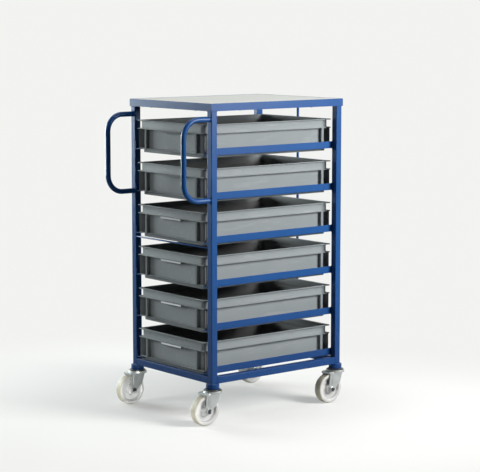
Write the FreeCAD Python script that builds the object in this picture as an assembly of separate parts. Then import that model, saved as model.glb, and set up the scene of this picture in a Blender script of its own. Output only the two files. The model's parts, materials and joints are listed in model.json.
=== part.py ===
# Mobile tray rack: a welded square-tube frame on four swivel castors, with six moulded
# trays that slide on angle runners, a board in the top rim and two push handles.
# Millimetres. +Z is up, the trays pull out towards -Y, and the floor is at z = 0.
import FreeCAD, Part
import math
import os
from FreeCAD import Vector

# Moulded tray
TRAY_LENGTH = 600.0
TRAY_WIDTH = 400.0
TRAY_HEIGHT = 118.0
TRAY_WALL = 3.0            # side wall and floor
TRAY_EDGE = 3.0            # thickness of the rim, flange and ledge
TRAY_EDGE_ROUND = 6.0      # corner radius of rim, flange and ledge
BAND_HEIGHT = 27.0         # smooth band between rim and flange
BAND_INSET = 6.0
BAND_ROUND = 24.0
OPENING_INSET = 11.0       # mouth, wide enough for the foot of a tray stacked on it
WALL_INSET = 14.0
WALL_ROUND = 24.0
LEDGE_INSET = 3.0
FOOT_HEIGHT = 13.0
FOOT_INSET = 13.0
FOOT_ROUND = 18.0
FOOT_WIDTH = 9.0           # stacking foot, a ring under the floor
FLOOR_RECESS = 8.0
RIB_INSET = 1.0
SIDE_RIB_WIDTH = 11.0
SIDE_RIB_END = 37.0        # from the tray's end to the rib on a long side
END_RIB_WIDTH = 10.0
END_RIB_SIDE = 45.0        # from the tray's side to the rib on an end
CORNER_WEB = 3.0           # upright web out to each corner, between ledge and flange
GRIP_WIDTH = 122.0         # grip bar under the flange at each end
GRIP_HEIGHT = 7.0
GRIP_INSET = 1.0

# Welded frame
TUBE = 25.4
TUBE_WALL = 1.6
TUBE_ROUND = 2.5
TRAY_SIDE_GAP = 14.9       # from a tray's side to the posts' inner faces
TRAY_PROUD = 1.5           # the rims stand this far in front of the posts
TOP_CLEARANCE = 49.0       # from the top tray's rim to the top rim's underside

# Angle runners
RUNNER_COUNT = 6
RUNNER_LEG = 25.4
RUNNER_SHEET = 3.0
RUNNER_SETBACK = 1.0       # the ends stop short of the posts' outer faces
FOOT_CLEARANCE = 2.5       # from a tray's foot to the runner's shelf edge
TRAY_HEADROOM = 37.8       # from one tray's rim to the next one's foot
LOWEST_RUNNER_GAP = 6.7    # from the base rails to the lowest runner
SEAT_GAP = 0.2             # between a tray and what it rests on

# Bars
STOP_BAR = 10.0
STOP_INSET = 0.5           # from the posts' rear faces
STOP_GAP = 4.0             # from the bar to the trays
TIE_BAR = 6.0
TIE_RUNNER_COUNT = 3       # runners from the top down to the one beside the tie bar
TIE_GAP = 0.5              # from the bar to the foot of the tray on that runner

# Top rim and board
RIM_DEPTH = 27.0
RIM_SHEET = 2.0
RIM_SHELF = 27.0
RIM_OVERHANG = 3.0
BOARD_GAP = 0.5
BOARD_BELOW = 0.5          # the board's face lies just under the rim's edge
BOARD_SCREW = 4.0
BOARD_SCREW_HEAD = 9.0
BOARD_SCREW_HEAD_HEIGHT = 2.5
BOARD_SCREW_BITE = 9.0
BOARD_SCREW_END_GAP = 5.0  # the pilot hole runs this much deeper than the screw
BOARD_SCREW_INSET = 17.0   # from the rim's outer face
SCREW_PLACE_SHARE = 0.27   # of the side's length, each way from its middle

# Push handles
HANDLE_TUBE = 19.0
HANDLE_WALL = 1.5
HANDLE_HEIGHT = 284.0      # between the axes of the two arms
HANDLE_REACH = 113.0       # from the post to the axis of the upright run
HANDLE_BEND = 62.0
HANDLE_DROP = 28.6         # from the posts' tops to the upper arm's axis

# Castors
BOSS_DIAMETER = 48.0
BOSS_HEIGHT = 18.0
WHEEL_DIAMETER = 108.0
WHEEL_WIDTH = 32.0
TREAD_ROUND = 5.0
WHEEL_RIM = 12.0
WEB_WIDTH = 11.0
WEB_DRAFT = 2.5            # the rim and hub flare this much towards the web
HUB_DIAMETER = 35.0
HUB_LENGTH = 38.0
HUB_PLAY = 0.3             # between the hub and each fork leg
CASTOR_TRAIL = 36.0
CROWN_DIAMETER = 68.0
CROWN_SHEET = 4.0
CROWN_RIM = 2.5
CROWN_RIM_HEIGHT = 5.0     # raised edge around the ball race
CROWN_CLEARANCE = 5.6      # over the wheel
FORK_SHEET = 3.0
FORK_TIP = 12.0            # radius of the leg's end round the axle
FORK_FRONT = 42.0          # from the swivel axis to the leg's front corner under the crown
FORK_REAR = 18.0           # from the swivel axis to its rear corner
FORK_WAIST = 7.0           # from the swivel axis to its rear edge above the taper
FORK_TAPER = 24.0          # height of the taper above the axle
FORK_BEAD = 15.0           # width of the stiffening bead down each leg
FORK_BEAD_HEIGHT = 1.5
VISOR_REACH = 6.0          # lip of the crown in front of the legs
VISOR_DROP = 4.0
HEAD_DIAMETER = 58.0
HEAD_SHEET = 5.0
BALL_DIAMETER = 6.0
BALL_COUNT = 14
BALL_CIRCLE = 46.0
BALL_SINK = 1.0            # depth of a ball in each race
KING_BOLT = 12.0
KING_HEAD = 19.0           # across flats
KING_HEAD_HEIGHT = 7.5
KING_HEAD_GAP = 0.4
KING_END_GAP = 2.0         # the bolt ends this far below the boss's top
AXLE_BOLT = 8.0
AXLE_HEAD = 17.0           # across flats
AXLE_HEAD_HEIGHT = 6.4
AXLE_NUT_HEIGHT = 8.0
AXLE_END = 1.0             # thread beyond the nut
SLEEVE_DIAMETER = 15.0
FIT_CLEARANCE = 0.05       # radial, in every turning or bolted fit

OVERRUN = 5.0              # every cut runs past the solid by this much

# Levels, from the floor up
axle_z = WHEEL_DIAMETER / 2
crown_z = WHEEL_DIAMETER + CROWN_CLEARANCE
ball_z = crown_z + CROWN_SHEET + BALL_DIAMETER / 2 - BALL_SINK
head_z = ball_z + BALL_DIAMETER / 2 - BALL_SINK
boss_z = head_z + HEAD_SHEET
base_z = boss_z + BOSS_HEIGHT
base_top_z = base_z + TUBE
runner_pitch = TRAY_HEIGHT + TRAY_HEADROOM
lowest_runner_z = base_top_z + LOWEST_RUNNER_GAP


def runner_z(level):
    """Underside of the runners on a level, counted from the top."""
    return lowest_runner_z + (RUNNER_COUNT - level) * runner_pitch


def tray_z(level):
    """Underside of a tray's foot: the lowest tray's foot stands on the base rails."""
    on_runner = runner_z(level) + RUNNER_SHEET - FOOT_HEIGHT
    return max(on_runner, base_top_z) + SEAT_GAP


post_top_z = tray_z(1) + TRAY_HEIGHT + TOP_CLEARANCE

# Places on the floor plan, with the origin under the middle of the whole rack
inner_width = TRAY_WIDTH + 2 * TRAY_SIDE_GAP
rack_width = inner_width + 2 * TUBE
rack_depth = TRAY_LENGTH - TRAY_PROUD + STOP_GAP + STOP_BAR + STOP_INSET
front_reach = HANDLE_REACH + HANDLE_TUBE / 2
rear_reach = max(RIM_OVERHANG, CROWN_DIAMETER / 2 - TUBE / 2)
rack_mid_y = (front_reach - rear_reach) / 2
front_y = rack_mid_y - rack_depth / 2
rear_y = rack_mid_y + rack_depth / 2
post_x = rack_width / 2 - TUBE / 2
post_y = rack_depth / 2 - TUBE / 2
tray_mid_y = front_y - TRAY_PROUD + TRAY_LENGTH / 2
SIDES = {"left": -1, "right": 1}
ENDS = {"front": -1, "rear": 1}

X = Vector(1, 0, 0)
Y = Vector(0, 1, 0)
Z = Vector(0, 0, 1)
ORIGIN = Vector(0, 0, 0)
QUARTER_TURN = 90.0


def save(name, *solids):
    shape = solids[0] if len(solids) == 1 else Part.makeCompound(list(solids))
    shape.exportStep("parts/" + name + ".step")


def moved(shape, x, y, z):
    copy = shape.copy()
    copy.translate(Vector(x, y, z))
    return copy


def block(x_low, x_high, y_low, y_high, z_low, z_high):
    return Part.makeBox(x_high - x_low, y_high - y_low, z_high - z_low, Vector(x_low, y_low, z_low))


def rod(radius, length, start, direction):
    return Part.makeCylinder(radius, length, start, direction)


def rounded_outline(width, depth, radius):
    """Closed wire of a rounded rectangle about the origin, in the XY plane."""
    x = width / 2
    y = depth / 2
    slope = radius * (1 - math.sqrt(0.5))
    edges = [
        Part.LineSegment(Vector(radius - x, -y, 0), Vector(x - radius, -y, 0)),
        Part.Arc(Vector(x - radius, -y, 0), Vector(x - slope, slope - y, 0), Vector(x, radius - y, 0)),
        Part.LineSegment(Vector(x, radius - y, 0), Vector(x, y - radius, 0)),
        Part.Arc(Vector(x, y - radius, 0), Vector(x - slope, y - slope, 0), Vector(x - radius, y, 0)),
        Part.LineSegment(Vector(x - radius, y, 0), Vector(radius - x, y, 0)),
        Part.Arc(Vector(radius - x, y, 0), Vector(slope - x, y - slope, 0), Vector(-x, y - radius, 0)),
        Part.LineSegment(Vector(-x, y - radius, 0), Vector(-x, radius - y, 0)),
        Part.Arc(Vector(-x, radius - y, 0), Vector(slope - x, slope - y, 0), Vector(radius - x, -y, 0)),
    ]
    return Part.Wire([edge.toShape() for edge in edges])


def slab(width, depth, radius, z_low, z_high):
    face = Part.Face(rounded_outline(width, depth, radius))
    return moved(face.extrude(Z * (z_high - z_low)), 0, 0, z_low)


def square_tube(length):
    """Box section along +Z from the origin."""
    outside = slab(TUBE, TUBE, TUBE_ROUND, 0, length)
    bore = TUBE - 2 * TUBE_WALL
    inside = slab(bore, bore, TUBE_ROUND - TUBE_WALL, -OVERRUN, length + OVERRUN)
    return outside.cut(inside)


def hexagon(across_flats, height):
    radius = across_flats / math.sqrt(3)
    corners = [Vector(radius * math.cos(turn * math.pi / 3), radius * math.sin(turn * math.pi / 3), 0)
               for turn in range(7)]
    return Part.Face(Part.makePolygon(corners)).extrude(Z * height)


def build_frame():
    post = square_tube(post_top_z - base_z)
    across = square_tube(inner_width)
    across.rotate(ORIGIN, Y, QUARTER_TURN)
    along = square_tube(rack_depth - 2 * TUBE)
    along.rotate(ORIGIN, X, -QUARTER_TURN)
    rail_z = base_z + TUBE / 2
    for end, y_sign in ENDS.items():
        y = rack_mid_y + y_sign * post_y
        save("base_rail_" + end, moved(across, -inner_width / 2, y, rail_z))
        for side, x_sign in SIDES.items():
            save("post_" + end + "_" + side, moved(post, x_sign * post_x, y, base_z))
    for side, x_sign in SIDES.items():
        save("base_rail_" + side, moved(along, x_sign * post_x, front_y + TUBE, rail_z))


def build_runners():
    shelf = TRAY_SIDE_GAP + FOOT_INSET - FOOT_CLEARANCE
    y_low = front_y + RUNNER_SETBACK
    y_high = rear_y - RUNNER_SETBACK
    leg = block(-RUNNER_SHEET, 0, y_low, y_high, 0, RUNNER_LEG)
    flat = block(-shelf, 0, y_low, y_high, 0, RUNNER_SHEET)
    right = leg.fuse(flat).removeSplitter()
    left = right.mirror(ORIGIN, X)
    for level in range(1, RUNNER_COUNT + 1):
        z = runner_z(level)
        save("runner_right_%d" % level, moved(right, inner_width / 2, 0, z))
        save("runner_left_%d" % level, moved(left, -inner_width / 2, 0, z))


def build_bars():
    stop_y = rear_y - STOP_INSET - STOP_BAR / 2
    save("back_stop_bar", rod(STOP_BAR / 2, post_top_z - base_top_z, Vector(0, stop_y, base_top_z), Z))
    tie_y = front_y + TIE_BAR / 2
    tie_z = tray_z(TIE_RUNNER_COUNT) - TIE_GAP - TIE_BAR / 2
    save("front_tie_bar", rod(TIE_BAR / 2, inner_width, Vector(-inner_width / 2, tie_y, tie_z), X))


def screw_places(width, depth):
    """Two screws in each of the rim's four shelves."""
    x = width / 2 - BOARD_SCREW_INSET
    y = depth / 2 - BOARD_SCREW_INSET
    places = []
    for near in (-1, 1):
        for far in (-1, 1):
            places.append((near * SCREW_PLACE_SHARE * width, far * y))
            places.append((far * x, near * SCREW_PLACE_SHARE * depth))
    return places


def build_top():
    width = rack_width + 2 * RIM_OVERHANG
    depth = rack_depth + 2 * RIM_OVERHANG
    x = width / 2
    y = depth / 2
    shelf_z = RIM_SHEET
    ring = block(-x, x, -y, y, 0, RIM_DEPTH)
    ring = ring.cut(block(RIM_SHEET - x, x - RIM_SHEET, RIM_SHEET - y, y - RIM_SHEET,
                          shelf_z, RIM_DEPTH + OVERRUN))
    ring = ring.cut(block(RIM_SHELF - x, x - RIM_SHELF, RIM_SHELF - y, y - RIM_SHELF,
                          -OVERRUN, RIM_DEPTH))
    gap = RIM_SHEET + BOARD_GAP
    board = block(gap - x, x - gap, gap - y, y - gap, shelf_z, RIM_DEPTH - BOARD_BELOW)
    shank_length = RIM_SHEET + BOARD_SCREW_BITE
    screws = []
    for place_x, place_y in screw_places(width, depth):
        hole = rod(BOARD_SCREW / 2 + FIT_CLEARANCE, OVERRUN + shank_length + BOARD_SCREW_END_GAP,
                   Vector(place_x, place_y, -OVERRUN), Z)
        ring = ring.cut(hole)
        board = board.cut(hole)
        shank = rod(BOARD_SCREW / 2, shank_length, Vector(place_x, place_y, 0), Z)
        head = rod(BOARD_SCREW_HEAD / 2, BOARD_SCREW_HEAD_HEIGHT,
                   Vector(place_x, place_y, -BOARD_SCREW_HEAD_HEIGHT), Z)
        screws.append(moved(shank.fuse(head), 0, rack_mid_y, post_top_z))
    mitre = RIM_SHELF + OVERRUN
    sides = {
        "front": [(-x, -y), (x, -y), (x - mitre, mitre - y), (mitre - x, mitre - y)],
        "rear": [(x, y), (-x, y), (mitre - x, y - mitre), (x - mitre, y - mitre)],
        "left": [(-x, y), (-x, -y), (mitre - x, mitre - y), (mitre - x, y - mitre)],
        "right": [(x, -y), (x, y), (x - mitre, y - mitre), (x - mitre, mitre - y)],
    }
    for side, corners in sides.items():
        points = [Vector(corner_x, corner_y, 0) for corner_x, corner_y in corners]
        wedge = Part.Face(Part.makePolygon(points + points[:1])).extrude(Z * RIM_DEPTH)
        save("top_rim_" + side, moved(ring.common(wedge), 0, rack_mid_y, post_top_z))
    save("top_board", moved(board, 0, rack_mid_y, post_top_z))
    save("top_board_screws", *screws)


def build_handles():
    top = HANDLE_HEIGHT / 2
    slope = HANDLE_BEND * (1 - math.sqrt(0.5))
    bend_y = HANDLE_BEND - HANDLE_REACH
    path = [
        Part.LineSegment(Vector(0, 0, top), Vector(0, bend_y, top)),
        Part.Arc(Vector(0, bend_y, top), Vector(0, slope - HANDLE_REACH, top - slope),
                 Vector(0, -HANDLE_REACH, top - HANDLE_BEND)),
        Part.LineSegment(Vector(0, -HANDLE_REACH, top - HANDLE_BEND),
                         Vector(0, -HANDLE_REACH, HANDLE_BEND - top)),
        Part.Arc(Vector(0, -HANDLE_REACH, HANDLE_BEND - top), Vector(0, slope - HANDLE_REACH, slope - top),
                 Vector(0, bend_y, -top)),
        Part.LineSegment(Vector(0, bend_y, -top), Vector(0, 0, -top)),
    ]
    spine = Part.Wire([edge.toShape() for edge in path])

    def swept(radius):
        ring = Part.Wire([Part.Circle(Vector(0, 0, top), Y, radius).toShape()])
        return spine.makePipeShell([ring], True, False)

    handle = swept(HANDLE_TUBE / 2).cut(swept(HANDLE_TUBE / 2 - HANDLE_WALL))
    z = post_top_z - HANDLE_DROP - HANDLE_HEIGHT / 2
    for side, x_sign in SIDES.items():
        save("handle_" + side, moved(handle, x_sign * post_x, front_y, z))


def tray_shape():
    """One tray about its own middle, with its foot on z = 0 and its ends towards Y."""
    half_width = TRAY_WIDTH / 2
    half_length = TRAY_LENGTH / 2
    ledge_z = FOOT_HEIGHT
    band_z = TRAY_HEIGHT - TRAY_EDGE - BAND_HEIGHT
    flange_z = band_z - TRAY_EDGE

    def inset_slab(inset, radius, z_low, z_high):
        return slab(TRAY_WIDTH - 2 * inset, TRAY_LENGTH - 2 * inset, radius, z_low, z_high)

    pieces = [
        inset_slab(FOOT_INSET, FOOT_ROUND, 0, ledge_z),
        inset_slab(LEDGE_INSET, TRAY_EDGE_ROUND, ledge_z, ledge_z + TRAY_EDGE),
        inset_slab(WALL_INSET, WALL_ROUND, ledge_z, band_z),
        inset_slab(0, TRAY_EDGE_ROUND, flange_z, band_z),
        inset_slab(BAND_INSET, BAND_ROUND, band_z, TRAY_HEIGHT),
        inset_slab(0, TRAY_EDGE_ROUND, TRAY_HEIGHT - TRAY_EDGE, TRAY_HEIGHT),
    ]
    hollows = [
        inset_slab(WALL_INSET + TRAY_WALL, WALL_ROUND - TRAY_WALL,
                   FLOOR_RECESS + TRAY_WALL, TRAY_HEIGHT + OVERRUN),
        inset_slab(OPENING_INSET, WALL_ROUND - TRAY_WALL, band_z, TRAY_HEIGHT + OVERRUN),
        inset_slab(FOOT_INSET + FOOT_WIDTH, FOOT_ROUND, -OVERRUN, FLOOR_RECESS),
    ]
    wall_x = half_width - WALL_INSET - TRAY_WALL / 2
    wall_y = half_length - WALL_INSET - TRAY_WALL / 2
    rib_x = half_width - END_RIB_SIDE - END_RIB_WIDTH
    rib_y = half_length - SIDE_RIB_END - SIDE_RIB_WIDTH
    diagonal_share = 1 - math.sqrt(0.5)
    web_x = wall_x - WALL_ROUND * diagonal_share
    web_y = wall_y - WALL_ROUND * diagonal_share
    web_end = half_width - LEDGE_INSET - TRAY_EDGE_ROUND * diagonal_share
    web_length = math.sqrt(2) * (web_end - web_x)
    for turn in (0, 2 * QUARTER_TURN):
        half_pieces = [block(-GRIP_WIDTH / 2, GRIP_WIDTH / 2, GRIP_INSET - half_length, -wall_y,
                             flange_z - GRIP_HEIGHT, flange_z)]
        for sign in (-1, 1):
            rib_low = min(sign * rib_y, sign * (rib_y + SIDE_RIB_WIDTH))
            half_pieces.append(block(wall_x, half_width - RIB_INSET, rib_low, rib_low + SIDE_RIB_WIDTH,
                                     ledge_z, band_z))
            rib_low = min(sign * rib_x, sign * (rib_x + END_RIB_WIDTH))
            half_pieces.append(block(rib_low, rib_low + END_RIB_WIDTH, RIB_INSET - half_length, -wall_y,
                                     ledge_z, band_z))
            web = block(0, web_length, -CORNER_WEB / 2, CORNER_WEB / 2, ledge_z, band_z)
            web.rotate(ORIGIN, Z, sign * QUARTER_TURN / 2)
            half_pieces.append(moved(web, web_x, sign * web_y, 0))
        for shape in half_pieces:
            shape.rotate(ORIGIN, Z, turn)
        pieces += half_pieces
    return pieces[0].multiFuse(pieces[1:]).cut(hollows).removeSplitter()


def build_trays():
    tray = tray_shape()
    for level in range(1, RUNNER_COUNT + 1):
        save("tray_%d" % level, moved(tray, 0, tray_mid_y, tray_z(level)))


def wheel_shape():
    """Wheel about the X axis through the origin, as points of radius and width."""
    tread = WHEEL_DIAMETER / 2
    rim = tread - WHEEL_RIM
    hub = HUB_DIAMETER / 2
    bore = SLEEVE_DIAMETER / 2 + FIT_CLEARANCE
    web = WEB_WIDTH / 2
    edge = WHEEL_WIDTH / 2
    half = [(bore, HUB_LENGTH / 2), (hub, HUB_LENGTH / 2), (hub + WEB_DRAFT, web), (rim - WEB_DRAFT, web),
            (rim, edge), (tread - TREAD_ROUND, edge)]
    outline = half + [(radius, -width) for radius, width in reversed(half)]
    lines = Part.makePolygon([Vector(width, 0, radius) for radius, width in outline + outline[:1]])
    wheel = Part.Face(lines).revolve(ORIGIN, X, 360)
    crown = rod(tread, WHEEL_WIDTH - 2 * TREAD_ROUND, Vector(TREAD_ROUND - edge, 0, 0), X)
    for x_sign in (-1, 1):
        shoulder = Part.makeTorus(tread - TREAD_ROUND, TREAD_ROUND,
                                  Vector(x_sign * (edge - TREAD_ROUND), 0, 0), X)
        crown = crown.fuse(shoulder)
    crown = crown.cut(rod(tread - TREAD_ROUND, WHEEL_WIDTH + OVERRUN, Vector(-edge - OVERRUN / 2, 0, 0), X))
    return wheel.fuse(crown).removeSplitter()


def tangent_angle(point, centre, radius, turn):
    """Angle on a circle where a line from a point outside it touches."""
    reach = math.hypot(point[0] - centre[0], point[1] - centre[1])
    return math.atan2(point[1] - centre[1], point[0] - centre[0]) + turn * math.acos(radius / reach)


def fork_leg(x_low, top_z):
    """Outline of one fork leg in the YZ plane at x_low, tapering from the crown to the axle."""
    centre = (-CASTOR_TRAIL, axle_z)
    front = (-FORK_FRONT, top_z)
    rear = (FORK_REAR, top_z)
    waist = (FORK_WAIST, axle_z + FORK_TAPER)
    rear_angle = tangent_angle(waist, centre, FORK_TIP, -1)
    front_angle = tangent_angle(front, centre, FORK_TIP, 1)

    def on_tip(angle):
        return Vector(x_low, centre[0] + FORK_TIP * math.cos(angle), centre[1] + FORK_TIP * math.sin(angle))

    def at(place):
        return Vector(x_low, place[0], place[1])

    edges = [
        Part.LineSegment(at(front), at(rear)),
        Part.LineSegment(at(rear), at(waist)),
        Part.LineSegment(at(waist), on_tip(rear_angle)),
        Part.Arc(on_tip(rear_angle), on_tip(-math.pi / 2), on_tip(front_angle)),
        Part.LineSegment(on_tip(front_angle), at(front)),
    ]
    return Part.Face(Part.Wire([edge.toShape() for edge in edges]))


def fork_shape():
    """Crown and two legs, with the swivel axis on Z and the wheel trailing to -Y."""
    crown_top = crown_z + CROWN_SHEET
    gap = HUB_LENGTH / 2 + HUB_PLAY
    fork = rod(CROWN_DIAMETER / 2, CROWN_SHEET + CROWN_RIM_HEIGHT, Vector(0, 0, crown_z), Z)
    fork = fork.cut(rod(CROWN_DIAMETER / 2 - CROWN_RIM, CROWN_RIM_HEIGHT + OVERRUN,
                        Vector(0, 0, crown_top), Z))
    for x_low in (gap, -gap - FORK_SHEET):
        fork = fork.fuse(fork_leg(x_low, crown_top).extrude(X * FORK_SHEET))
    outside = gap + FORK_SHEET
    visor_y = -FORK_FRONT - VISOR_REACH
    fork = fork.fuse(block(-outside, outside, visor_y, FORK_REAR, crown_z, crown_top))
    fork = fork.fuse(block(-outside, outside, visor_y, visor_y + FORK_SHEET, crown_z - VISOR_DROP, crown_z))
    bead_y = -CASTOR_TRAIL
    for x_low in (outside, -outside - FORK_BEAD_HEIGHT):
        fork = fork.fuse(block(x_low, x_low + FORK_BEAD_HEIGHT, bead_y, bead_y + FORK_BEAD,
                               axle_z + AXLE_HEAD, crown_z))
    fork = fork.cut(rod(KING_BOLT / 2 + FIT_CLEARANCE, CROWN_SHEET + 2 * OVERRUN,
                        Vector(0, 0, crown_z - OVERRUN), Z))
    fork = fork.cut(rod(AXLE_BOLT / 2 + FIT_CLEARANCE, 2 * (outside + OVERRUN),
                        Vector(-outside - OVERRUN, -CASTOR_TRAIL, axle_z), X))
    race = Part.makeTorus(BALL_CIRCLE / 2, BALL_DIAMETER / 2 + FIT_CLEARANCE, Vector(0, 0, ball_z), Z)
    return fork.cut(race).removeSplitter()


def axle_solids():
    """Axle bolt, nut and spacer sleeve about the X axis through the origin, the nut towards +X."""
    gap = HUB_LENGTH / 2 + HUB_PLAY
    face = gap + FORK_SHEET
    end = face + AXLE_NUT_HEIGHT + AXLE_END
    head = hexagon(AXLE_HEAD, AXLE_HEAD_HEIGHT)
    head.rotate(ORIGIN, Y, -QUARTER_TURN)
    nut = hexagon(AXLE_HEAD, AXLE_NUT_HEIGHT)
    nut.rotate(ORIGIN, Y, QUARTER_TURN)
    bolt = moved(head, -face, 0, 0).fuse(rod(AXLE_BOLT / 2, face + end, Vector(-face, 0, 0), X))
    bore = rod(AXLE_BOLT / 2 + FIT_CLEARANCE, face + end + OVERRUN, Vector(-face, 0, 0), X)
    nut = moved(nut, face, 0, 0).cut(bore)
    length = 2 * (gap - FIT_CLEARANCE)
    sleeve = rod(SLEEVE_DIAMETER / 2, length, Vector(-length / 2, 0, 0), X).cut(bore)
    return bolt.removeSplitter(), nut, sleeve


def build_castors():
    wheel = wheel_shape()
    fork = fork_shape()
    axle = axle_solids()
    bolt_fit = KING_BOLT / 2 + FIT_CLEARANCE
    boss = rod(BOSS_DIAMETER / 2, BOSS_HEIGHT, Vector(0, 0, boss_z), Z)
    boss = boss.cut(rod(bolt_fit, BOSS_HEIGHT + 2 * OVERRUN, Vector(0, 0, boss_z - OVERRUN), Z))
    race = Part.makeTorus(BALL_CIRCLE / 2, BALL_DIAMETER / 2 + FIT_CLEARANCE, Vector(0, 0, ball_z), Z)
    head = rod(HEAD_DIAMETER / 2, HEAD_SHEET, Vector(0, 0, head_z), Z)
    head = head.cut(rod(bolt_fit, HEAD_SHEET + 2 * OVERRUN, Vector(0, 0, head_z - OVERRUN), Z)).cut(race)
    king_z = crown_z - KING_HEAD_GAP - KING_HEAD_HEIGHT
    king = moved(hexagon(KING_HEAD, KING_HEAD_HEIGHT), 0, 0, king_z)
    king = king.fuse(rod(KING_BOLT / 2, base_z - KING_END_GAP - king_z, Vector(0, 0, king_z), Z))
    king = king.removeSplitter()
    balls = []
    for step in range(BALL_COUNT):
        turn = 2 * math.pi * step / BALL_COUNT
        centre = Vector(BALL_CIRCLE / 2 * math.cos(turn), BALL_CIRCLE / 2 * math.sin(turn), ball_z)
        balls.append(Part.makeSphere(BALL_DIAMETER / 2, centre))
    king_bolts = []
    ball_rings = []
    for end, y_sign in ENDS.items():
        for side, x_sign in SIDES.items():
            x = x_sign * post_x
            y = rack_mid_y + y_sign * post_y
            corner = end + "_" + side
            save("castor_boss_" + corner, moved(boss, x, y, 0))
            save("castor_head_" + corner, moved(head, x, y, 0))
            save("castor_fork_" + corner, moved(fork, x, y, 0))
            save("castor_wheel_" + corner, moved(wheel, x, y - CASTOR_TRAIL, axle_z))
            save("castor_axle_" + corner, *[moved(solid, x, y - CASTOR_TRAIL, axle_z) for solid in axle])
            king_bolts.append(moved(king, x, y, 0))
            ball_rings += [moved(ball, x, y, 0) for ball in balls]
    save("castor_king_bolts", *king_bolts)
    save("castor_balls", *ball_rings)


os.makedirs("parts", exist_ok=True)
build_frame()
build_runners()
build_bars()
build_top()
build_handles()
build_trays()
build_castors()
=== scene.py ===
# A mobile tray rack as it is put together: the studio, the welded blue frame, the top board,
# the six moulded trays and the four swivel castors. Metres, floor at z = 0, trays pull out to -Y.
import json
import math

import bmesh
import bpy
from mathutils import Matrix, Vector


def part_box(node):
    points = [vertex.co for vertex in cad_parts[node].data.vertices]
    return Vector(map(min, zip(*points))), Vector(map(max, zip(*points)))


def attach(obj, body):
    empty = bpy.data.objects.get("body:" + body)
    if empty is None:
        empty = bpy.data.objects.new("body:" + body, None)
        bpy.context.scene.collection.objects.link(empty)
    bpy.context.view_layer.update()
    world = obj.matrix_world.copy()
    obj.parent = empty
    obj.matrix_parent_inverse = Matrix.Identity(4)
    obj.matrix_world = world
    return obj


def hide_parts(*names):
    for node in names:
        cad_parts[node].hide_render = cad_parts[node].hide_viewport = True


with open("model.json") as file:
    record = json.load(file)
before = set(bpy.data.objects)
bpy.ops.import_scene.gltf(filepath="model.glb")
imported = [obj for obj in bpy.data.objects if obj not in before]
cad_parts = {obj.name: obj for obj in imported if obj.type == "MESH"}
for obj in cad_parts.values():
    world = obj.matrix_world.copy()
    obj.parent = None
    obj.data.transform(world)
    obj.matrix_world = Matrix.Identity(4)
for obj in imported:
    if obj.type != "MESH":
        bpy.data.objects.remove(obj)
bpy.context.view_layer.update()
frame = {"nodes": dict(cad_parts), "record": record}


# The studio: a white sweep with a tall soft lamp to the right and a little behind the rack, a low
# wide one to the left, one overhead, a weak one in front and a strip near the floor for the
# castors, and a long lens that looks at the handle end from above.
class Signal:
    """One socket of a node tree; arithmetic on it adds Math nodes."""

    def __init__(self, tree, socket=None):
        self.tree = tree
        self.socket = socket

    def make(self, kind, settings=None, inputs=None, output=0):
        """One output of a new node, with its settings made and its inputs set or linked."""
        node = self.tree.nodes.new(kind)
        for name, value in (settings or {}).items():
            if name == "stops":
                ramp = node.color_ramp.elements
                while len(ramp) < len(value):
                    ramp.new(1.0)
                for element, (position, level) in zip(ramp, value):
                    element.position = position
                    element.color = (level, level, level, 1.0)
            else:
                setattr(node, name, value)
        for key, value in (inputs or {}).items():
            if isinstance(value, Signal):
                self.tree.links.new(value.socket, node.inputs[key])
            else:
                node.inputs[key].default_value = value
        return Signal(self.tree, node.outputs[output])

    def math(self, operation, first, second):
        return self.make("ShaderNodeMath", {"operation": operation}, {0: first, 1: second})

    def __add__(self, other):
        return self.math("ADD", self, other)

    def __radd__(self, other):
        return self.math("ADD", other, self)

    def __mul__(self, other):
        return self.math("MULTIPLY", self, other)

    def __rmul__(self, other):
        return self.math("MULTIPLY", other, self)

    def blend(self, low, high):
        """Colour from low to high as this value goes from 0 to 1."""
        return self.make("ShaderNodeMix", {"data_type": "RGBA"}, {0: self, 6: low, 7: high}, 2)

    def ramp(self, *stops):
        """Grey level along stops of (this value, level)."""
        return self.make("ShaderNodeValToRGB", {"stops": stops}, {0: self})

    def smooth(self, start, end, first=0.0, last=1.0):
        """Goes smoothly from first to last as this value goes from start to end."""
        return self.make("ShaderNodeMapRange", {"interpolation_type": "SMOOTHSTEP"},
                         {"Value": self, "From Min": start, "From Max": end,
                          "To Min": first, "To Max": last})

    def noise(self, scale, detail=2.0, stretch=(1.0, 1.0, 1.0)):
        """Noise over this position, finer as scale grows, drawn out along the axes by stretch."""
        place = self.make("ShaderNodeVectorMath", {"operation": "MULTIPLY"}, {0: self, 1: stretch})
        return self.make("ShaderNodeTexNoise", {},
                         {"Vector": place, "Scale": scale, "Detail": detail})


def ray_kinds(tree, *names):
    """Signals that are 1 for rays of the named kinds."""
    rays = tree.nodes.new("ShaderNodeLightPath").outputs
    return [Signal(tree, rays["Is %s Ray" % name]) for name in names]


def new_finish(name):
    """A material with its shader node and the position on the piece."""
    material = bpy.data.materials.new(name)
    material.use_nodes = True
    tree = material.node_tree
    shader = tree.nodes["Principled BSDF"]
    place = Signal(tree).make("ShaderNodeTexCoord", output=3)
    return material, shader, place


def feed(shader, **signals):
    """Links signals to the shader's sockets, or sets plain values on them."""
    for name, value in signals.items():
        socket = shader.inputs[name.replace("_", " ")]
        if isinstance(value, Signal):
            value.tree.links.new(value.socket, socket)
        else:
            socket.default_value = value


def stand(name, data):
    """A new object in the scene, at the origin."""
    thing = bpy.data.objects.new(name, data)
    bpy.context.collection.objects.link(thing)
    return thing


def corners_of(node):
    """The lowest and the highest corner of a node's box."""
    return [Vector(corner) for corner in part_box(node)]


PAPER = (0.893, 0.900, 0.877, 1.0)
rack_middle = sum(corners_of("top_board"), Vector()) / 2
rack_middle.z = 0.0


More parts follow.
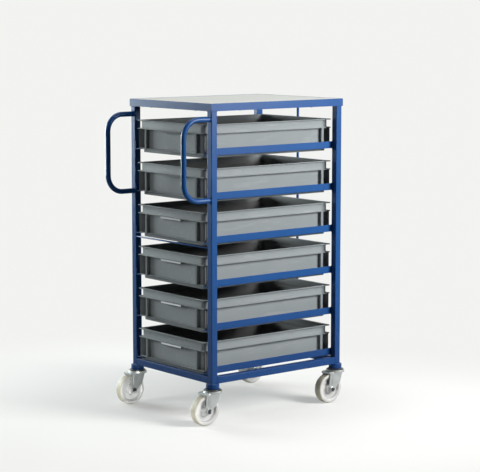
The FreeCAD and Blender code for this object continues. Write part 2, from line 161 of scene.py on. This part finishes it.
def make_floor():
    """The paper underfoot: lit near the rack, and as bright as the backdrop farther out."""
    reach = 40.0
    lit_colour = (0.84, 0.833, 0.815, 1.0)
    near_bounce, far_bounce = (0.5, 0.5, 0.5, 1.0), (0.08, 0.08, 0.08, 1.0)
    near_to, far_from = 0.6, 1.1
    glow_from, glow_to, least_glow = 0.5, 1.6, 0.35
    mesh = bpy.data.meshes.new("floor")
    corners = [(-reach, -reach, 0), (reach, -reach, 0), (reach, reach, 0), (-reach, reach, 0)]
    mesh.from_pydata(corners, [], [(0, 1, 2, 3)])
    floor = stand("floor", mesh)
    material, shader, place = new_finish("paper_sweep")
    tree = material.node_tree
    camera, glossy = ray_kinds(tree, "Camera", "Glossy")
    distance = place.make("ShaderNodeVectorMath", {"operation": "DISTANCE"},
                          {0: place, 1: rack_middle}, 1)
    near = distance.smooth(near_to, far_from, first=1.0, last=0.0)
    bounce = near.blend(far_bounce, near_bounce)
    unseen = glossy.blend(bounce, near_bounce)
    feed(shader, Base_Color=camera.blend(unseen, lit_colour), Roughness=0.9, Specular_IOR_Level=0.1)
    far = distance.smooth(glow_from, glow_to, first=least_glow)
    glow = far.make("ShaderNodeEmission", {}, {"Color": PAPER, "Strength": 1.0})
    lit = Signal(tree, shader.outputs[0])
    both = far.make("ShaderNodeMixShader", {}, {0: far * camera, 1: lit, 2: glow})
    tree.links.new(both.socket, tree.nodes["Material Output"].inputs["Surface"])
    mesh.materials.append(material)


def make_world():
    """Paper behind the rack and a dark room elsewhere, which only mirrored rays tell apart."""
    backdrop, paper_from, paper_to = (-0.77, 0.63, 0.1), -0.35, 0.6
    room, unlit_paper = (0.02, 0.021, 0.023, 1.0), (0.05, 0.052, 0.056, 1.0)
    world = bpy.data.worlds.new("studio")
    world.use_nodes = True
    bpy.context.scene.world = world
    tree = world.node_tree
    camera, glossy, glass = ray_kinds(tree, "Camera", "Glossy", "Transmission")
    mirrored = camera.math("MINIMUM", glossy + glass, 1.0)
    towards = camera.make("ShaderNodeTexCoord")
    behind = camera.make("ShaderNodeVectorMath", {"operation": "DOT_PRODUCT"},
                         {0: towards, 1: backdrop}, 1)
    sweep = behind.smooth(paper_from, paper_to)
    shown = mirrored.blend(room, sweep.blend(unlit_paper, PAPER))
    tree.links.new(camera.blend(shown, PAPER).socket, tree.nodes["Background"].inputs["Color"])


def look_at(thing, aim, azimuth, elevation, distance):
    """Sets a lamp or camera off from its aim, its azimuth counted from +X towards +Y."""
    turn, rise = math.radians(azimuth), math.radians(elevation)
    away = Vector((math.cos(turn) * math.cos(rise), math.sin(turn) * math.cos(rise),
                   math.sin(rise)))
    thing.location = aim + away * distance
    thing.rotation_euler = (-away).to_track_quat("-Z", "Y").to_euler()


def add_lamp(name, azimuth, elevation, distance, width, height, watts, tint=(1, 1, 1),
             aim=(0, 0, 0.6), spread=180.0):
    """A soft lamp aimed at a place on the rack."""
    data = bpy.data.lights.new(name, "AREA")
    data.shape = "RECTANGLE"
    data.size, data.size_y = width, height
    data.energy = watts
    data.color = tint
    data.spread = math.radians(spread)
    look_at(stand(name, data), rack_middle + Vector(aim), azimuth, elevation, distance)


def make_camera():
    """A long lens on a corner of the rack, the one between its handles and its right side."""
    azimuth, elevation, distance = -39.162, 7.267, 6.4420
    aim_height, aim_right = 0.6283, 0.01316
    data = bpy.data.cameras.new("camera")
    data.sensor_fit = "HORIZONTAL"
    data.sensor_width = 36.0
    data.lens = 129.6
    camera = stand("camera", data)
    turn = math.radians(azimuth)
    right = Vector((-math.sin(turn), math.cos(turn), 0.0))
    aim = rack_middle + Vector((0, 0, aim_height)) + right * aim_right
    look_at(camera, aim, azimuth, elevation, distance)
    bpy.context.scene.camera = camera


bpy.context.scene.view_settings.view_transform = "Standard"
make_floor()
make_world()
make_camera()
add_lamp("key_softbox", azimuth=27.0, elevation=23.0, distance=3.0,
         width=1.2, height=1.35, watts=130.0)
add_lamp("left_softbox", azimuth=196.0, elevation=8.0, distance=3.2,
         width=2.2, height=1.0, watts=116.0, tint=(0.90, 0.99, 1.0))
add_lamp("overhead", azimuth=90.0, elevation=86.0, distance=4.0,
         width=2.0, height=2.0, watts=50.0)
add_lamp("front_fill", azimuth=252.0, elevation=28.0, distance=3.4,
         width=1.2, height=1.0, watts=22.0, tint=(1.0, 0.99, 0.97))
add_lamp("floor_strip", azimuth=-38.0, elevation=0.0, distance=1.8,
         width=0.5, height=0.04, watts=0.23, aim=(-0.2, -0.345, 0.04), spread=8.0)


# The posts and base rails: one-inch square steel tube, cut square, welded up and powder-coated
# blue in one go with the rest of the frame, so the coat runs over every seam. Its colour is painted
# darker low down, as painted shade for the weaker light near the floor.
def dent(height, depth):
    """Normal of a surface that this height signal raises by depth, in metres."""
    return height.make("ShaderNodeBump", {}, {"Height": height, "Distance": depth})


def blue_powder_coat(name, roughness, specular):
    deep, light = (0.009, 0.061, 0.210, 1.0), (0.014, 0.083, 0.265, 1.0)
    worn, darkened = (0.03, 0.115, 0.32, 1.0), (0.006, 0.027, 0.108, 1.0)
    darkest_height, unshaded_height = 0.15, 0.6
    rub_share, darkening_share = 0.15, 0.55
    material, shader, place = new_finish(name)
    cloud = place.noise(7.0, detail=3.0)
    rub = place.noise(38.0, detail=5.0, stretch=(1.0, 1.0, 0.35)).ramp((0.6, 0.0), (0.82, 1.0))
    height = place.make("ShaderNodeSeparateXYZ", {}, {0: place}, 2)
    # painted shade: the coat darkens towards the floor, standing in for the weaker light there
    shade_low_down = height.smooth(darkest_height, unshaded_height, first=1.0, last=0.0)
    unshaded_coat = (rub_share * rub).blend(cloud.blend(deep, light), worn)
    coat = (darkening_share * shade_low_down).blend(unshaded_coat, darkened)
    peel = place.noise(420.0, detail=1.0)
    feed(shader, Base_Color=coat, Roughness=roughness + 0.06 * cloud + 0.06 * rub,
         Normal=dent(peel, depth=0.00008), Specular_IOR_Level=specular)
    return material


def finish_node(node, material):
    """Gives a node of the frame its finish as it stands."""
    mesh = frame["nodes"][node].data
    mesh.materials.clear()
    mesh.materials.append(material)


blue = blue_powder_coat("blue_powder_coat", roughness=0.30, specular=0.22)
CORNERS = [end + "_" + side for end in ("front", "rear") for side in ("left", "right")]
SIDES = ("front", "rear", "left", "right")
for corner in CORNERS:
    finish_node("post_" + corner, blue)
for side in SIDES:
    finish_node("base_rail_" + side, blue)


# The runners and the top rim: steel angle, cut to length, the rim mitred at its corners and the
# runners welded to the inner faces of the posts, all coated with the frame.
def body_named(node):
    """The moving body that a node belongs to."""
    bodies = frame["record"]["behaviour"]["bodies"]
    return next(body for body, nodes in bodies.items() if node in nodes)


def add_piece(name, mesh, body, material=None):
    """Puts a mesh on a body as a piece of the rack, at the origin."""
    if material:
        mesh.materials.clear()
        mesh.materials.append(material)
    piece = stand(name, mesh)
    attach(piece, body)
    return piece


def plain_mesh(piece):
    """The piece's mesh with its modifiers worked in; the piece itself is taken away."""
    view = bpy.context.evaluated_depsgraph_get()
    mesh = bpy.data.meshes.new_from_object(piece.evaluated_get(view))
    bpy.data.objects.remove(piece)
    return mesh


def eased_copy(node, edge, round_sides):
    """A node's solid with every sharp edge eased by a small round, as a mesh."""
    merge_distance = 1e-6
    flat_angle, sharp_angle = math.radians(1.0), math.radians(14.0)
    form = bmesh.new()
    form.from_mesh(frame["nodes"][node].data)
    bmesh.ops.remove_doubles(form, verts=form.verts, dist=merge_distance)
    bmesh.ops.dissolve_limit(form, angle_limit=flat_angle, verts=form.verts, edges=form.edges)
    mesh = bpy.data.meshes.new(node)
    form.to_mesh(mesh)
    form.free()
    piece = stand(node, mesh)
    bevel = piece.modifiers.new("ease", "BEVEL")
    bevel.width = edge
    bevel.segments = 2
    bevel.limit_method = "ANGLE"
    bevel.angle_limit = sharp_angle
    if round_sides:
        bevel.harden_normals = True
        mesh.shade_smooth()
    return plain_mesh(piece)


def ease_node(node, material, edge, round_sides=True):
    """Puts an eased copy in a node's place; flat-sided pieces have no round sides to shade."""
    piece = add_piece(node + "_finish", eased_copy(node, edge, round_sides), body_named(node),
                      material)
    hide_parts(node)
    return piece


LEVELS = range(1, 7)
for side in SIDES:
    ease_node("top_rim_" + side, blue, edge=0.0006, round_sides=False)
for side in ("left", "right"):
    for level in LEVELS:
        ease_node("runner_%s_%d" % (side, level), blue, edge=0.0006, round_sides=False)


# The bars and bosses: a thin steel rod across the front, a thicker one up the back that stops the
# trays, and turned steel bosses under the posts for the castors, all welded on and coated with
# the frame.
ease_node("front_tie_bar", blue, edge=0.0008)
ease_node("back_stop_bar", blue, edge=0.0008)
for corner in CORNERS:
    ease_node("castor_boss_" + corner, blue, edge=0.0008)


# The push handles: round steel tube, bent twice on a mandrel, coped at both ends and welded
# to the front faces of the front posts. Hands have polished their coat.
def handle_mesh(node):
    bend, arc_share = 0.062, 0.5523
    arc_pull = arc_share * bend
    low, high = corners_of(node)
    radius = (high.x - low.x) / 2
    middle_x = (high.x + low.x) / 2
    grip_y = low.y + radius
    top, bottom = high.z - radius, low.z + radius
    path = [(high.y, top), (grip_y + bend, top), (grip_y, top - bend), (grip_y, bottom + bend),
            (grip_y + bend, bottom), (high.y, bottom)]
    curve = bpy.data.curves.new(node, "CURVE")
    curve.dimensions = "3D"
    curve.bevel_depth = radius
    curve.bevel_resolution = 6
    curve.resolution_u = 14
    curve.use_fill_caps = True
    spline = curve.splines.new("BEZIER")
    spline.bezier_points.add(len(path) - 1)
    points = spline.bezier_points
    for point, (y, z) in zip(points, path):
        point.co = (middle_x, y, z)
        point.handle_left_type = point.handle_right_type = "FREE"
        point.handle_left = point.handle_right = point.co
    points[1].handle_right = points[1].co + Vector((0, -arc_pull, 0))
    points[2].handle_left = points[2].co + Vector((0, 0, arc_pull))
    points[3].handle_right = points[3].co + Vector((0, 0, -arc_pull))
    points[4].handle_left = points[4].co + Vector((0, -arc_pull, 0))
    mesh = plain_mesh(stand(node, curve))
    mesh.shade_smooth()
    mesh.set_sharp_from_angle(angle=math.radians(50.0))
    return mesh


polished = blue_powder_coat("hand_polished_coat", roughness=0.22, specular=0.17)
for side in ("left", "right"):
    node = "handle_" + side
    tube = add_piece(node + "_tube", handle_mesh(node), "frame", polished)
    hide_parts(node)


# The weld seams: short fillet beads wherever a tube, rod or angle meets a post, rippled by the
# torch and drowned in the powder coat.
def growth_tree(name, result, **inputs):
    """A geometry tree with its named inputs, which come back as signals."""
    tree = bpy.data.node_groups.new(name, "GeometryNodeTree")
    for label, kind in inputs.items():
        tree.interface.new_socket(label.replace("_", " "), in_out="INPUT",
                                  socket_type="NodeSocket" + kind)
    tree.interface.new_socket(result, in_out="OUTPUT", socket_type="NodeSocketGeometry")
    given = tree.nodes.new("NodeGroupInput").outputs
    return tree, [Signal(tree, given[index]) for index in range(len(inputs))]


def close_growth(tree, form, material):
    """Ends a geometry tree with real faces in one material."""
    form = form.make("GeometryNodeRealizeInstances", {}, {"Geometry": form})
    form = form.make("GeometryNodeSetMaterial", {}, {"Geometry": form, "Material": material})
    tree.links.new(form.socket, tree.nodes.new("NodeGroupOutput").inputs[0])
    return tree


def grown(name, mesh, tree, **sizes):
    """The plain mesh that a geometry tree grows on a mesh, with its named inputs set."""
    piece = stand(name, mesh)
    growth = piece.modifiers.new(name, "NODES")
    growth.node_group = tree
    for item in tree.interface.items_tree:
        key = item.name.replace(" ", "_")
        if key in sizes:
            growth[item.identifier] = sizes[key]
    return plain_mesh(piece)


def weld_tree():
    """Rippled beads along the edges of a mesh of seams."""
    swell_share, points_per_ripple, ring_sides = 0.16, 4, 8
    tree, (seams, radius, ripple, coat) = growth_tree(
        "weld_bead", "Beads", Seams="Geometry", Bead_radius="Float", Ripple="Float", Coat="Material")
    line = seams.make("GeometryNodeMeshToCurve", {}, {"Mesh": seams})
    line = line.make("GeometryNodeResampleCurve", {"mode": "LENGTH"},
                     {"Curve": line, "Length": ripple * (1 / points_per_ripple)})
    along = line.make("GeometryNodeSplineParameter", output=1)
    wave = along.math("DIVIDE", along, ripple) * math.tau
    swell = 1.0 + swell_share * wave.make("ShaderNodeMath", {"operation": "SINE"}, {0: wave})
    ring = line.make("GeometryNodeCurvePrimitiveCircle", {},
                     {"Resolution": ring_sides, "Radius": radius})
    bead = line.make("GeometryNodeCurveToMesh", {},
                     {"Curve": line, "Profile Curve": ring, "Scale": swell, "Fill Caps": True})
    return close_growth(tree, bead, coat)


def ring_points(centre, radius, first, second, count=20):
    """Points round a circle in the plane of two directions."""
    turns = [math.tau * step / count for step in range(count)]
    return [centre + radius * (math.cos(turn) * first + math.sin(turn) * second) for turn in turns]


def post_seams(end, side):
    """The seams on one post, as (points, closed)."""
    low, high = corners_of("post_%s_%s" % (end, side))
    inner_x = high.x if side == "left" else low.x
    inner_y = high.y if end == "front" else low.y
    seams = []
    rail_low, rail_high = corners_of("base_rail_" + end)
    for z in (rail_low.z, rail_high.z):
        seams.append(([Vector((inner_x, low.y, z)), Vector((inner_x, high.y, z))], False))
        seams.append(([Vector((low.x, inner_y, z)), Vector((high.x, inner_y, z))], False))
    for level in LEVELS:
        angle_low, angle_high = corners_of("runner_%s_%d" % (side, level))
        y_low, y_high = max(low.y, angle_low.y), min(high.y, angle_high.y)
        for z in (angle_low.z, angle_high.z):
            seams.append(([Vector((inner_x, y_low, z)), Vector((inner_x, y_high, z))], False))
    for z in (low.z, high.z):
        seams.append(([Vector((low.x, low.y, z)), Vector((high.x, low.y, z)),
                       Vector((high.x, high.y, z)), Vector((low.x, high.y, z))], True))
    if end == "front":
        arm_low, arm_high = corners_of("handle_" + side)
        radius = (arm_high.x - arm_low.x) / 2
        for z in (arm_low.z + radius, arm_high.z - radius):
            centre = Vector(((arm_low.x + arm_high.x) / 2, low.y, z))
            seams.append((ring_points(centre, radius, ALONG_X, ALONG_Z), True))
    return seams


def bar_seams(node, first, second):
    """The rings at both ends of a bar, in the plane of two directions, as (points, closed)."""
    low, high = corners_of(node)
    axis = first.cross(second)
    radius = (high - low).dot(first) / 2
    half = (high - low).dot(axis) / 2
    middle = (low + high) / 2
    return [(ring_points(middle + way * half * axis, radius, first, second), True)
            for way in (-1, 1)]


def seam_mesh(seams):
    """A mesh of edges alone, along every seam."""
    points, edges = [], []
    for line, closed in seams:
        start = len(points)
        points += line
        edges += [(start + step, start + step + 1) for step in range(len(line) - 1)]
        if closed:
            edges.append((start + len(line) - 1, start))
    mesh = bpy.data.meshes.new("seams")
    mesh.from_pydata(points, edges, [])
    return mesh


ALONG_X, ALONG_Y, ALONG_Z = Vector((1, 0, 0)), Vector((0, 1, 0)), Vector((0, 0, 1))
frame_seams = [seam for corner in CORNERS for seam in post_seams(*corner.split("_"))]
frame_seams += bar_seams("front_tie_bar", ALONG_Y, ALONG_Z)
frame_seams += bar_seams("back_stop_bar", ALONG_X, ALONG_Y)
beads = grown("weld_beads", seam_mesh(frame_seams), weld_tree(),
              Bead_radius=0.0016, Ripple=0.0042, Coat=blue)
beads.shade_smooth()
add_piece("weld_beads", beads, "frame")


# The top board: melamine-faced board in pale grey, dropped into the angle rim and held from below
# by zinc-plated screws.
def grey_melamine():
    pale, paler = (0.60, 0.62, 0.585, 1.0), (0.71, 0.73, 0.69, 1.0)
    material, shader, place = new_finish("grey_melamine")
    cloud = place.noise(5.0, detail=4.0)
    fleck = place.noise(260.0, detail=2.0)
    shade = 0.6 * cloud + 0.4 * fleck
    feed(shader, Base_Color=shade.blend(pale, paler), Roughness=0.38 + 0.1 * cloud,
         Normal=dent(fleck, depth=0.00004))
    return material


def zinc_plate():
    darker_tone, bright = (0.50, 0.53, 0.52, 1.0), (0.70, 0.73, 0.71, 1.0)
    material, shader, place = new_finish("zinc_plate")
    cloud = place.noise(45.0, detail=4.0)
    streak = place.noise(120.0, detail=2.0, stretch=(1.0, 1.0, 0.2))
    feed(shader, Base_Color=cloud.blend(darker_tone, bright), Roughness=0.26 + 0.2 * streak, Metallic=0.9,
         Normal=dent(streak, depth=0.00005))
    return material


zinc = zinc_plate()
ease_node("top_board", grey_melamine(), edge=0.0006, round_sides=False)
finish_node("top_board_screws", zinc)


# The trays: grey polypropylene stacking trays, injection moulded in one shot, with a fine
# spark-eroded grain, the scuffs of sliding in and out, and insides painted darker, as painted shade.
def point_share(place, name):
    """The share that the piece's points carry under a name, as a signal."""
    return place.make("ShaderNodeAttribute", {"attribute_name": name}, {}, 2)


def set_point_shares(mesh, name, shares):
    """Writes one share for each point of a mesh under a name."""
    mesh.attributes.new(name, "FLOAT", "POINT").data.foreach_set("value", shares)


def grey_moulding():
    grey, light_grey = (0.215, 0.240, 0.247, 1.0), (0.265, 0.290, 0.297, 1.0)
    darker_tone, lighter_inside_shade = (0.110, 0.110, 0.109, 1.0), (0.145, 0.144, 0.142, 1.0)
    scuffed, scuff_share = (0.42, 0.44, 0.44, 1.0), 0.22
    material, shader, place = new_finish("grey_moulding")
    cloud = place.noise(6.0, detail=3.0)
    scuff = place.noise(55.0, detail=6.0, stretch=(1.0, 0.12, 1.0)).ramp((0.58, 0.0), (0.72, 1.0))
    grain = place.noise(900.0, detail=1.0)
    outside = (scuff_share * scuff).blend(cloud.blend(grey, light_grey), scuffed)
    # painted shade: the inner faces get a darker grey that stands in for the shade inside the trays
    inside = cloud.blend(darker_tone, lighter_inside_shade)
    feed(shader, Base_Color=point_share(place, "inside").blend(outside, inside),
         Roughness=0.56 + 0.14 * cloud, Normal=dent(grain, depth=0.00008), Specular_IOR_Level=0.25)
    return material


def mark_shaded_inside(piece, node):
    """Tells the points of a tray's inner faces, where shade is painted, from the rest of the
    moulding.
    """
    wall_inset, mouth_inset, floor_top, band_height, slack = 0.017, 0.011, 0.011, 0.030, 0.0003
    low, high = corners_of(node)
    shares = []
    for vertex in piece.data.vertices:
        x, y, z = vertex.co
        in_band = z > high.z - band_height - slack
        inset = min(x - low.x, high.x - x, y - low.y, high.y - y)
        within = inset > (mouth_inset if in_band else wall_inset) - slack
        shares.append(float(within and low.z + floor_top - slack < z < high.z - slack))
    set_point_shares(piece.data, "inside", shares)


moulding = grey_moulding()
for level in LEVELS:
    node = "tray_%d" % level
    mark_shaded_inside(ease_node(node, moulding, edge=0.0009), node)


# The ejector marks: small flat discs that the mould leaves on the smooth band under the rim, two
# on each long side, in the same plastic as the tray.
def mark_tree():
    """A disc at each point of a mesh, its faces turned to the tray's long sides."""
    disc_sides, turned_to_side = 20, (0.0, math.pi / 2, 0.0)
    tree, (places, radius, height, plastic) = growth_tree(
        "ejector_marks", "Marks", Places="Geometry", Mark_radius="Float", Mark_height="Float",
        Plastic="Material")
    disc = places.make("GeometryNodeMeshCylinder", {},
                       {"Vertices": disc_sides, "Radius": radius, "Depth": height})
    discs = places.make("GeometryNodeInstanceOnPoints", {},
                        {"Points": places, "Instance": disc, "Rotation": turned_to_side})
    return close_growth(tree, discs, plastic)


def mark_places(node):
    """The middles of a tray's marks, as a mesh of points alone."""
    band_inset, from_middle, under_rim = 0.006, 0.120, 0.0165
    low, high = corners_of(node)
    middle_y = (low.y + high.y) / 2
    mesh = bpy.data.meshes.new("dots")
    mesh.from_pydata([(x, middle_y + way * from_middle, high.z - under_rim)
                      for x in (low.x + band_inset, high.x - band_inset) for way in (-1, 1)], [], [])
    return mesh


marks_on_band = mark_tree()
for level in LEVELS:
    node = "tray_%d" % level
    name = "ejector_marks_%d" % level
    marks = grown(name, mark_places(node), marks_on_band,
                  Mark_radius=0.003, Mark_height=0.0009, Plastic=moulding)
    add_piece(name, marks, body_named(node))


# The label strips: blank white card, cut to length and stuck on the front grip bars of the four
# lower trays; their brightness, growing towards the bottom of the rack, is a painted sheen of the
# grip bars. They stay just behind the tray's rim.
def white_card():
    white, whiter = (0.78, 0.81, 0.84, 1.0), (0.86, 0.88, 0.90, 1.0)
    dim_card, spot_share = (0.38, 0.40, 0.40, 1.0), 0.15
    material, shader, place = new_finish("white_card")
    fibre = place.noise(300.0, detail=4.0, stretch=(0.3, 1.0, 1.0))
    spots = place.noise(28.0, detail=4.0).ramp((0.45, 0.0), (0.8, 1.0))
    handled = point_share(place, "handled")
    dimming_and_spots = handled + spot_share * spots
    feed(shader, Base_Color=dimming_and_spots.blend(fibre.blend(white, whiter), dim_card),
         Roughness=0.5 + 0.2 * fibre, Normal=dent(fibre, depth=0.00004))
    return material


def card_mesh(node, handled):
    """A thin strip on the grip bar, in front of the tray's end, with its share of painted dimming.
    """
    length, thickness = 0.119, 0.0004
    bar_low, bar_high, bar_inset = 0.0786, 0.0844, 0.001
    low, high = corners_of(node)
    middle = Vector(((low.x + high.x) / 2, low.y + bar_inset - thickness / 2,
                     low.z + (bar_low + bar_high) / 2))
    form = bmesh.new()
    cube = bmesh.ops.create_cube(form, size=1.0)["verts"]
    bmesh.ops.scale(form, verts=cube, vec=(length, thickness, bar_high - bar_low))
    bmesh.ops.translate(form, verts=cube, vec=middle)
    mesh = bpy.data.meshes.new(node + "_label")
    form.to_mesh(mesh)
    form.free()
    set_point_shares(mesh, "handled", [handled] * len(mesh.vertices))
    return mesh


card = white_card()
# painted sheen: the strips are dimmed more on higher trays, where the grip bars show less sheen
for node, handled in (("tray_3", 0.7), ("tray_4", 0.5), ("tray_5", 0.05), ("tray_6", 0.0)):
    add_piece(node + "_label", card_mesh(node, handled), body_named(node), card)


# The castor heads: pressed steel heads, coloured near black as painted shade under the bosses,
# each held to its boss by a zinc-plated king bolt, with a ring of balls that the fork turns on.
def greased_zinc():
    # painted shade: near-black zinc tones for the heads, which sit in shade under the bosses
    darkest_tone, thin = (0.045, 0.045, 0.036, 1.0), (0.16, 0.16, 0.14, 1.0)
    material, shader, place = new_finish("greased_zinc")
    mottle = place.noise(90.0, detail=4.0)
    feed(shader, Base_Color=mottle.blend(darkest_tone, thin), Roughness=0.24 + 0.2 * mottle, Metallic=0.6,
         Normal=dent(mottle, depth=0.00006))
    return material


painted_head_shade = greased_zinc()
for corner in CORNERS:
    ease_node("castor_head_" + corner, painted_head_shade, edge=0.0005)
finish_node("castor_king_bolts", zinc)
finish_node("castor_balls", zinc)


# The castor forks: sheet steel pressed into a crown with two legs, zinc-plated, hung on the balls
# under the head.
for corner in CORNERS:
    ease_node("castor_fork_" + corner, zinc, edge=0.0006)


# The axles: a near-black bolt through the fork's legs, in a sleeve that the wheel turns on, with
# a zinc-plated head and nut outside the legs. The bolt's dark end within the nut is painted shade.
def blackened_steel():
    blue_black, worn_black = (0.02, 0.02, 0.022, 1.0), (0.07, 0.07, 0.075, 1.0)
    material, shader, place = new_finish("blackened_steel")
    cloud = place.noise(150.0, detail=3.0)
    feed(shader, Base_Color=cloud.blend(blue_black, worn_black), Roughness=0.35 + 0.2 * cloud,
         Metallic=0.6, Normal=dent(cloud, depth=0.00005))
    return material


def plate_ends(piece, node):
    """Turns the head and the nut of an axle bright."""
    bolt_radius, nut_from = 0.0042, 0.0204
    piece.data.materials.append(zinc)
    low, high = corners_of(node)
    middle = (low + high) / 2
    for face in piece.data.polygons:
        off = face.center - middle
        # the bolt's end within the nut stays near black, as painted shade for the hole there
        if math.hypot(off.y, off.z) > bolt_radius and abs(off.x) > nut_from:
            face.material_index = 1


bolt_shade = blackened_steel()
for corner in CORNERS:
    node = "castor_axle_" + corner
    plate_ends(ease_node(node, bolt_shade, edge=0.0004), node)


# The wheels: off-white polyamide, moulded in one piece with a thin web between hub and rim, and
# yellowed and grey with dirt where they run on the floor.
def white_polyamide():
    white, whiter = (0.53, 0.53, 0.52, 1.0), (0.59, 0.59, 0.58, 1.0)
    yellowed, darkened, darkening_share = (0.50, 0.48, 0.39, 1.0), (0.36, 0.33, 0.25, 1.0), 0.3
    material, shader, place = new_finish("white_polyamide")
    cloud = place.noise(24.0, detail=4.0)
    grime = place.noise(160.0, detail=5.0).ramp((0.5, 0.0), (0.75, 1.0))
    side = cloud.blend(white, whiter)
    run = (darkening_share * grime).blend(yellowed, darkened)
    feed(shader, Base_Color=point_share(place, "tread").blend(side, run),
         Roughness=0.42 + 0.15 * cloud, Normal=dent(place.noise(600.0), depth=0.00005),
         Subsurface_Weight=1.0, Subsurface_Scale=0.02, Subsurface_Radius=(1.0, 1.0, 1.0))
    return material


def wheel_mesh(node):
    """The wheel turned from its half section, with the share of running surface on its points."""
    bore, hub_radius, hub_ease = 0.00755, 0.0175, 0.0007
    hub_foot, web_from, web_to, rim_foot, rim_lip, rim_face = (
        0.0195, 0.0215, 0.0380, 0.0399, 0.0416, 0.0426)
    edge, web, fillet, lip_ease = 0.016, 0.0055, 0.002, 0.001
    shoulder, run_share, arc_steps, steps = 0.005, 0.7, 6, 80
    low, high = corners_of(node)
    centre = (low + high) / 2
    hub, tread = (high.x - low.x) / 2, (high.z - low.z) / 2
    half = [(bore, hub), (hub_radius - hub_ease, hub), (hub_radius, hub - hub_ease),
            (hub_foot, web + fillet), (web_from, web), (web_to, web), (rim_foot, web + fillet),
            (rim_lip, edge - lip_ease), (rim_face, edge)]
    for step in range(arc_steps + 1):
        turn = math.pi / 2 * step / arc_steps
        half.append((tread - shoulder + shoulder * math.sin(turn),
                     edge - shoulder + shoulder * math.cos(turn)))
    section = half + [(radius, -width) for radius, width in reversed(half)]
    count = len(section)
    points, shares, faces = [], [], []
    for step in range(steps):
        turn = math.tau * step / steps
        here, there = step * count, (step + 1) % steps * count
        for index, (radius, width) in enumerate(section):
            beyond = (index + 1) % count
            off = Vector((width, radius * math.cos(turn), radius * math.sin(turn)))
            points.append(centre + off)
            shares.append(min(max((radius - tread + shoulder) / (run_share * shoulder), 0.0), 1.0))
            faces.append((here + index, here + beyond, there + beyond, there + index))
    mesh = bpy.data.meshes.new(node)
    mesh.from_pydata(points, [], faces)
    form = bmesh.new()
    form.from_mesh(mesh)
    bmesh.ops.recalc_face_normals(form, faces=form.faces)
    form.to_mesh(mesh)
    form.free()
    set_point_shares(mesh, "tread", shares)
    mesh.shade_smooth()
    mesh.set_sharp_from_angle(angle=math.radians(40.0))
    return mesh


polyamide = white_polyamide()
for corner in CORNERS:
    node = "castor_wheel_" + corner
    turned = add_piece(node + "_turned", wheel_mesh(node), body_named(node),
                       polyamide)
    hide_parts(node)
